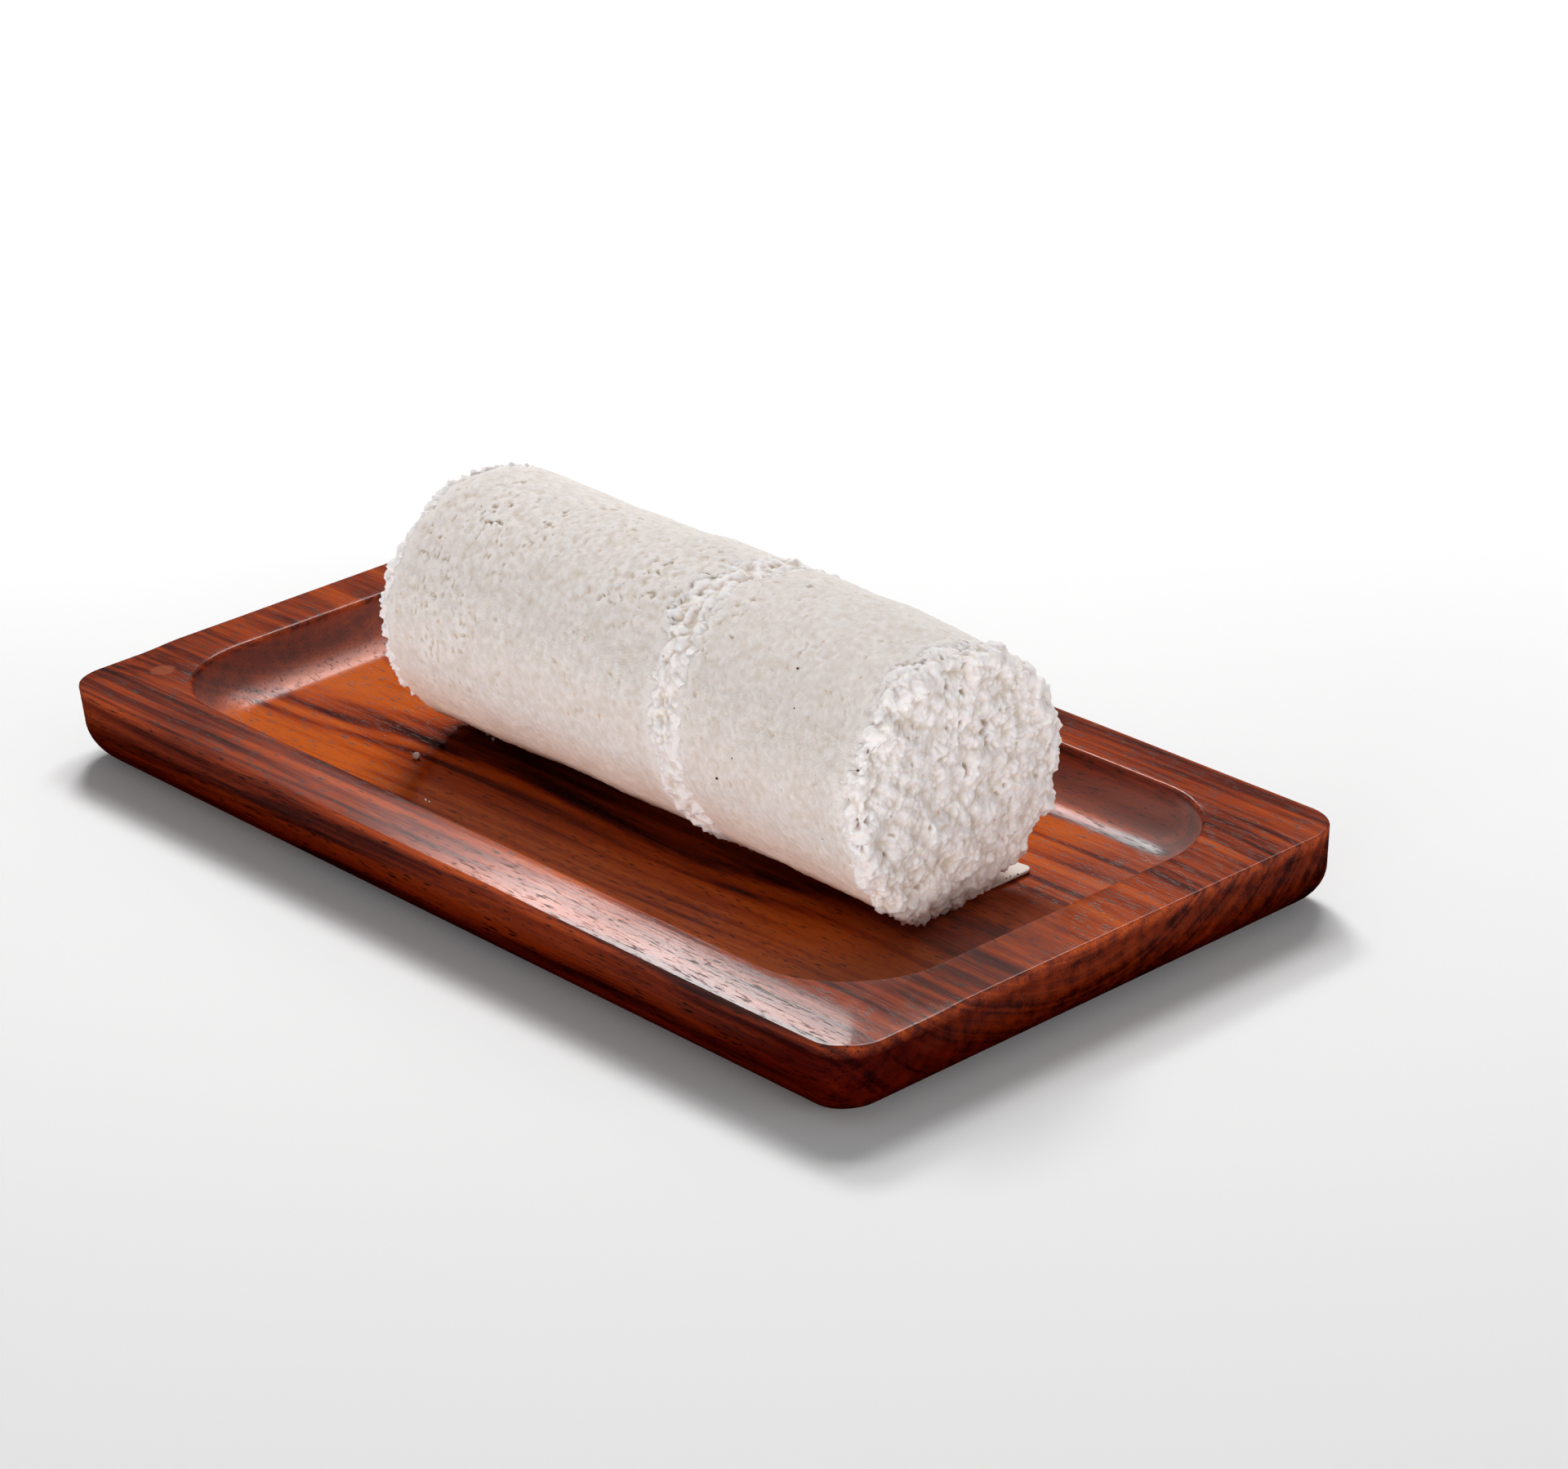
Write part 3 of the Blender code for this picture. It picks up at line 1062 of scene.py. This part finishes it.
@dataclass
class RiceLayer(Layer):
    """A stretch of steamed rice flour, its skin moulded by the tube.

    The tube leaves a fairly even skin of flour grains. Where steam and handling have loosened
    it, small pits open, and the edges by the coconut crumble away.

    Attributes:
        grain_height: How far the flour's grains stand out.
        worn: How far the skin is worn down at its end.
        seed: Fixes its relief.
    """

    finish: Finish = RICE
    crumble: CrumbRelief = CrumbRelief(mound=0.4 * MM, pit=1.2 * MM)
    lap: float = 2.0 * MM
    step: float = 0.47 * MM
    grain_height: float = 0.13 * MM
    pit_depth: float = 1.1 * MM
    worn: float = 0.5 * MM
    seed: int = 21

    def relief(self, x: Array, angle: Array, inland: Array) -> Array:
        """How far the skin stands out from the log's smooth form.

        Args:
            x: Places along the log.
            angle: Angles round it.
            inland: Distances from the nearer end.

        Returns:
            Heights, below 0 in the pits.
        """
        # The skin is loosest on top, at the rear and beside the middle coconut.
        loose = 0.16 + 0.5 * turn_hump(angle, 112, 30) * rise(75 * MM, 10 * MM, x)
        loose += 0.3 * (hump(x, -46 * MM, 16 * MM) * turn_hump(angle, 160, 30))
        loose += 0.7 * (hump(x, 24 * MM, 13 * MM) * turn_hump(angle, 117, 24))
        loose, inland = np.clip(loose, 0, 1).ravel(), inland.ravel()

        noise = Noise(self.seed)
        around = self.form.unrolled(x, angle)
        wear = rise(self.lap + 2.5 * MM, 0.5 * self.lap, inland)
        buried = rise(0.7 * self.lap, 0, inland)
        swells = noise.rough(around / (6 * MM), 2)
        pulled = around + 0.35 * MM * noise.smooth(around / (1.7 * MM) + 43)[:, None]
        patchy = 1 + 0.9 * noise.smooth(around / (3.4 * MM) + 3)
        flour = patchy * noise.grains(pulled / (1.25 * MM)) + 0.9 * noise.smooth(pulled / (1.6 * MM) + 77)
        crumbs = noise.smooth(around / (2.2 * MM)) + noise.grains(around / (2.6 * MM) + 9)
        clusters = rise(-0.1, 0.5, noise.smooth(around / (8 * MM) + 31))
        hollows = noise.rough(around / (2.1 * MM), 3)
        drawn_out = around * (1 / (1.1 * MM), 1 / (3.2 * MM), 1 / (3.2 * MM))
        rear = hump(around[:, 0], -48 * MM, 11 * MM)
        slits = rise(0.34, 0.64, noise.rough(drawn_out, 2)) * rear
        pits = rise(0.18, 0.6, hollows) * (0.25 + 0.75 * clusters) * np.minimum(1.9 * loose, 1)
        height = 0.25 * MM * swells + self.grain_height * flour * (0.85 + 0.15 * loose)
        height += 0.18 * MM * loose * crumbs - self.pit_depth * np.maximum(pits, 0.75 * slits)
        height += wear * (self.crumble.height(around) - self.worn) - 2.0 * MM * buried
        return height.reshape(x.shape)

    def build(self) -> None:
        """Builds the layer's skin between its two planes."""
        x, share, angle, inland = self.band(self.end.x - self.start.x)
        lean = self.start.lean + (self.end.lean - self.start.lean) * share
        radius = self.form.skin(x, angle) + self.relief(x, angle, inland)
        free = rise(0.8 * self.lap, self.lap + 2.0 * MM, inland)
        self.lay(skin_rings(self.form.place(x, lean, angle, radius)), 14, 0.35 * MM, free)


@dataclass
class CoconutSeam(Layer):
    """The grated coconut that runs through the middle of the log.

    Attributes:
        proud: How far its middle stands out of the skin.
    """

    lap: float = 2.4 * MM
    proud: float = 0.2 * MM

    def build(self) -> None:
        """Builds the layer as a band of crumb, low and broad on top and full at its near foot."""
        x, _, angle, inland = self.band(self.end.x - self.start.x + 2 * self.lap)
        top, foot = turn_hump(angle, 117, 20), turn_hump(angle, 208, 12)
        beyond = self.lap - inland
        crown = self.proud + 0.8 * MM * (foot - 0.6 * top) - 0.5 * np.maximum(beyond + 0.8 * MM, 0)
        relief = self.crumble.height(self.form.unrolled(x, angle)).reshape(x.shape)
        radius = self.form.skin(x, angle) + crown + relief * (1 + 0.2 * top)
        shell = skin_rings(self.form.place(x, self.start.lean, angle, radius))
        self.lay(shell, 30, 0.5 * MM, rise(0, -3 * MM, beyond))


@dataclass
class CoconutEnd(Layer):
    """Grated coconut and loose flour at an end of the log.

    Attributes:
        outward: 1 if its open face looks along +X, -1 if along -X.
        proud: How far it stands out of the log's form on average.
        count: Points along a side of its mesh.
    """

    outward: int = 1
    proud: float = 0.15 * MM
    count: int = 300

    def even_surface(self) -> tuple[Array, Array]:
        """Runs from the face's middle over its edge and back along the skin.

        Returns:
            The grid's points before the crumb's relief, and how far each lies under the rice.
        """
        form = self.form
        back, face = (self.start, self.end)[:: self.outward]
        reach, angle = disc_grid(self.count)
        broken = form.edge(back, angle) - self.outward * self.lap
        radius = form.skin(broken, angle)
        shoulder = form.front_shoulder if self.outward > 0 else form.rear_shoulder
        shoulder = shoulder * (1 + turn_hump(angle, 280, 50))
        band = np.maximum(self.outward * (face.x - broken) - shoulder, 0.1 * MM)
        flat = radius - shoulder
        arc = math.pi / 2 * shoulder
        along = reach * (flat + arc + band)
        turn = np.clip((along - flat) / shoulder, 0, math.pi / 2)
        behind = shoulder * (1 - np.cos(turn)) + np.maximum(along - flat - arc, 0)
        outwards = np.minimum(along, flat) + shoulder * np.sin(turn)
        beyond = behind + self.lap - shoulder - band
        outwards -= 0.5 * np.maximum(beyond + 1.0 * MM, 0)
        lean = face.lean + (back.lean - face.lean) * behind / (shoulder + band)
        x = face.x + face.bitten(angle) * rise(0.35, 1.0, along / radius)
        return form.place(x - self.outward * behind, lean, angle, outwards), beyond

    def build(self) -> None:
        """Covers the even surface with crumb, which is more jagged over its edge."""
        points, beyond = self.even_surface()
        normals = unit(np.cross(np.gradient(points, axis=0), np.gradient(points, axis=1)) * self.outward)
        height = self.crumble.height(points.reshape(-1, 3)).reshape(points.shape[:2])
        height *= 1 + 0.4 * rise(0.6, 0.8, disc_grid(self.count)[0])
        points = points + normals * (height + self.proud)[:, :, None]
        points[:, :, 2] = np.maximum(points[:, :, 2], self.form.rest_z)
        free = rise(0, -2.5 * MM, beyond)
        self.lay(skin_grid(points, self.outward < 0), 40, 0.7 * MM, free)


@dataclass
class Scraps:
    """What has come loose from the log, and the toasted flecks in it."""

    form: LogForm
    plate: Plate
    seed: int = 81

    def crumbs(self) -> None:
        """Lays the crumbs that have dropped on the well's floor and on the rim."""
        floor_z, rim_z = self.plate.floor_z, self.plate.top
        dropped = (
            (-58.7, -30.9, floor_z, 0.95),
            (-57.0, -10.6, floor_z, 0.6),
            (-53.8, -11.8, floor_z, 0.5),
            (-20.4, -57.3, rim_z - 0.4 * MM, 0.25),
            (-19.3, -57.0, rim_z - 0.5 * MM, 0.2),
            (138.2, 48.9, rim_z - 1.5 * MM, 0.25),
        )
        centres = np.array([(x * MM, y * MM, z + 0.8 * size * MM) for x, y, z, size in dropped])
        sizes = np.array([size * MM for *_, size in dropped])
        draw = np.random.default_rng(self.seed)
        show(scatter_lumps(centres, sizes, draw, 3).mesh("loose_crumbs"), COCONUT)

    def flake(self) -> None:
        """Lays the thin curl of coconut that sticks out beside the open end."""
        half_x, half_y, corner, thickness = 7.0 * MM, 7.5 * MM, 2.8 * MM, 0.8 * MM
        rings = []
        for angle in np.linspace(-math.pi / 2, math.pi / 2, 9):
            inset = thickness / 2 * (1 - math.cos(angle))
            height = self.plate.floor_z + thickness / 2 * (1 + math.sin(angle))
            rings.append(rounded_ring(half_x - inset, half_y - inset, corner - inset, height, 0.2))
        points = np.array(rings)
        points[:, :, 2] += 0.5 * MM * (points[:, :, 0] / half_x) ** 2
        points += np.array((91.4 * MM - half_x, 25.6 * MM - half_y, 0))
        show(skin_rings(points).mesh("coconut_flake"), FLESH)

    def flecks(self) -> None:
        """Sets the flecks of bran in the skin and the open face, and on the flake."""
        # Along the log, round it in degrees and size; then along the plate, across it and size.
        in_skin = (
            (66.2, 128, 0.24), (71.1, 143, 0.2), (56.2, 172, 0.18), (50.6, 184, 0.32),
            (85.2, 190, 0.16), (95.6, 155, 0.3), (33.3, 156, 0.26),
        )
        on_flake = (
            (90.9, 17.3, 0.2), (91.1, 18.2, 0.15), (90.7, 18.8, 0.2), (91.0, 19.6, 0.16), (91.1, 20.6, 0.24),
        )
        x, turn, size = np.array(in_skin).T
        turn, lean = np.radians(turn), 0.1
        radius = self.form.skin(x * MM, turn) + 0.05 * MM
        skin = self.form.place(x * MM + lean * (radius * np.sin(turn)), lean, turn, radius)
        flake = [(x * MM, y * MM, self.plate.floor_z + 1.2 * MM) for x, y, _ in on_flake]
        sizes = np.append(size, [size for *_, size in on_flake]) * MM
        draw = np.random.default_rng(self.seed + 1)
        show(scatter_lumps(np.concatenate((skin, flake)), sizes, draw, 2).mesh("bran_flecks"), BRAN)

    def build(self) -> None:
        """Lays crumbs, flake and flecks."""
        self.crumbs()
        self.flake()
        self.flecks()


# ------------ studio


def bearing(azimuth: float, elevation: float) -> Vector:
    """Points from the plate to where an azimuth and elevation in degrees look at it from."""
    a, e = math.radians(azimuth), math.radians(elevation)
    return Vector((math.sin(a) * math.cos(e), -math.cos(a) * math.cos(e), math.sin(e)))


@dataclass(frozen=True)
class StudioCamera:
    """The camera: a long lens, looking down on the plate's near corner.

    Attributes:
        azimuth: Its bearing round the plate in degrees, from looking along +Y.
        elevation: Its height above the horizon in degrees.
        roll: How far it is turned about its own axis, in degrees.
        distance: How far it stands from what it aims at.
        aim: What it aims at, from the middle of the rim's top.
        lens: Focal length in millimetres on a 36 mm frame.
    """

    azimuth: float = 49.513
    elevation: float = 24.298
    roll: float = -2.954
    distance: float = 1.15526
    aim: Place = (15.71 * MM, 19.34 * MM, 1.36 * MM)
    lens: float = 115.355

    def build(self, rim_z: float) -> None:
        """Makes the camera and looks through it.

        Args:
            rim_z: Height of the plate's rim.
        """
        a, r = math.radians(self.azimuth), math.radians(self.roll)
        back = bearing(self.azimuth, self.elevation)
        right = Vector((math.cos(a), math.sin(a), 0))
        up = back.cross(right)
        across = math.cos(r) * right + math.sin(r) * up
        upright = math.cos(r) * up - math.sin(r) * right
        lens = bpy.data.cameras.new("camera")
        lens.lens, lens.sensor_width, lens.sensor_fit = self.lens, 36, "HORIZONTAL"
        lens.clip_start, lens.clip_end = 0.05, 50
        camera = bpy.data.objects.new("camera", lens)
        turned = Matrix((across, upright, back)).transposed().to_4x4()
        where = Vector(self.aim) + Vector((0, 0, rim_z)) + back * self.distance
        camera.matrix_world = Matrix.Translation(where) @ turned
        bpy.context.scene.collection.objects.link(camera)
        bpy.context.scene.camera = camera


@dataclass(frozen=True)
class Softbox:
    """An oblong of diffused light, facing the plate.

    Attributes:
        azimuth: Its bearing round the plate in degrees, from looking along +Y.
        elevation: Its height above the horizon in degrees.
        distance: How far it stands from the plate.
        power: Its power in watts.
        role: Whether it is mirrored by the lacquer or only lights what is matt.
    """

    name: str
    azimuth: float
    elevation: float
    distance: float
    width: float
    height: float
    power: float
    role: Role

    def build(self) -> None:
        """Hangs the light."""
        back = bearing(self.azimuth, self.elevation)
        lamp = bpy.data.lights.new(self.name, "AREA")
        lamp.shape = "RECTANGLE"
        lamp.size, lamp.size_y, lamp.energy = self.width, self.height, self.power
        light = bpy.data.objects.new(self.name, lamp)
        light.location = back * self.distance
        light.rotation_euler = back.to_track_quat("Z", "Y").to_euler()
        light.visible_glossy = self.role is Role.SHINE
        light.visible_diffuse = self.role is Role.FILL
        light.visible_camera = False
        bpy.context.scene.collection.objects.link(light)


@dataclass(frozen=True)
class Studio:
    """A pale floor under soft light; the lacquer mirrors three panes in the dark and no more.

    Attributes:
        sky: Strength of the even light from all round.
        half: Half the floor's width.
        lights: Its softboxes.
    """

    sky: float = 0.18
    half: float = 12.0
    lights: tuple[Softbox, ...] = (
        Softbox("narrow_pane", 239.5, 41.5, 1.6, 0.185, 0.42, 6.1, Role.SHINE),
        Softbox("middle_pane", 229.0, 45.0, 1.6, 0.286, 0.53, 7.2, Role.SHINE),
        Softbox("wide_pane", 206.5, 49.2, 1.6, 0.50, 0.50, 11.5, Role.SHINE),
        Softbox("rear_fill", 234, 42, 1.6, 0.34, 0.26, 10.0, Role.FILL),
        Softbox("upper_fill", 217, 56, 1.6, 0.75, 0.46, 12.5, Role.FILL),
        Softbox("front_fill", 17, 2, 2.5, 2.0, 0.6, 66, Role.FILL),
        Softbox("end_fill", 104, 8, 2.5, 2.0, 1.0, 25, Role.FILL),
    )

    def build(self, rim_z: float) -> None:
        """Lays the floor, hangs the lights and sets the camera.

        Args:
            rim_z: Height of the plate's rim.
        """
        scene = bpy.context.scene
        scene.view_settings.view_transform = "Standard"
        world = bpy.data.worlds.new("soft_sky")
        world.use_nodes = True
        fill(world.node_tree.nodes["Background"], {"Color": (1.0, 1.0, 1.0, 1.0), "Strength": self.sky})
        world.cycles_visibility.glossy = False
        scene.world = world
        self.lay_floor()
        for box in self.lights:
            box.build()
        StudioCamera().build(rim_z)

    def lay_floor(self) -> None:
        """Lays a plain pale floor that the lacquer doesn't mirror."""
        corners = np.array([(-1, -1, 0), (1, -1, 0), (1, 1, 0), (-1, 1, 0)]) * self.half
        mesh = Shell(corners, [[0, 1, 2, 3]]).mesh("studio_floor")
        mesh.materials.append(WHITE_PAINT.material())
        floor = bpy.data.objects.new("studio_floor", mesh)
        floor.visible_glossy = False
        bpy.context.scene.collection.objects.link(floor)


def main() -> None:
    """Builds the plate, the log and the studio, in that order."""
    logging.basicConfig(level=logging.INFO, format="%(name)s: %(message)s")
    plate = Plate()
    plate.build()

    form = LogForm()
    rear = Cut(-66.5 * MM, -0.03, 0.8 * MM)
    seam_start = Cut(29.4 * MM, 0.12, 3.0 * MM, ((117.0, 20.0, -6 * MM),))
    seam_end = Cut(37.5 * MM, 0.12, 2.8 * MM, ((117.0, 20.0, -1 * MM),))
    front_bites = (
        (142.0, 13.0, 3.4 * MM),
        (176.0, 11.0, -1.6 * MM),
        (200.0, 14.0, 2.6 * MM),
        (268.0, 28.0, -3.0 * MM),
        (318.0, 36.0, -3.6 * MM),
    )
    front = Cut(93.0 * MM, 0.12, 2.2 * MM, front_bites)
    pressed = CrumbRelief(mound=0.7 * MM, lump=0.8 * MM, granule=0.6 * MM, pit=1.0 * MM, seed=6)
    fine = CrumbRelief(mound=0.6 * MM, lump=0.95 * MM, granule=0.5 * MM, pit=1.1 * MM, seed=7)
    for layer in (
        CoconutEnd("rear_coconut", form, form.rear, rear, crumble=pressed, outward=-1, count=240),
        RiceLayer("rear_rice", form, rear, seam_start),
        CoconutSeam("middle_coconut", form, seam_start, seam_end, crumble=fine),
        RiceLayer("front_rice", form, seam_end, front, step=0.37 * MM),
        CoconutEnd("front_coconut", form, front, form.front),
    ):
        layer.build()
    Scraps(form, plate).build()
    Studio().build(plate.top)


if __name__ == "__main__":
    main()
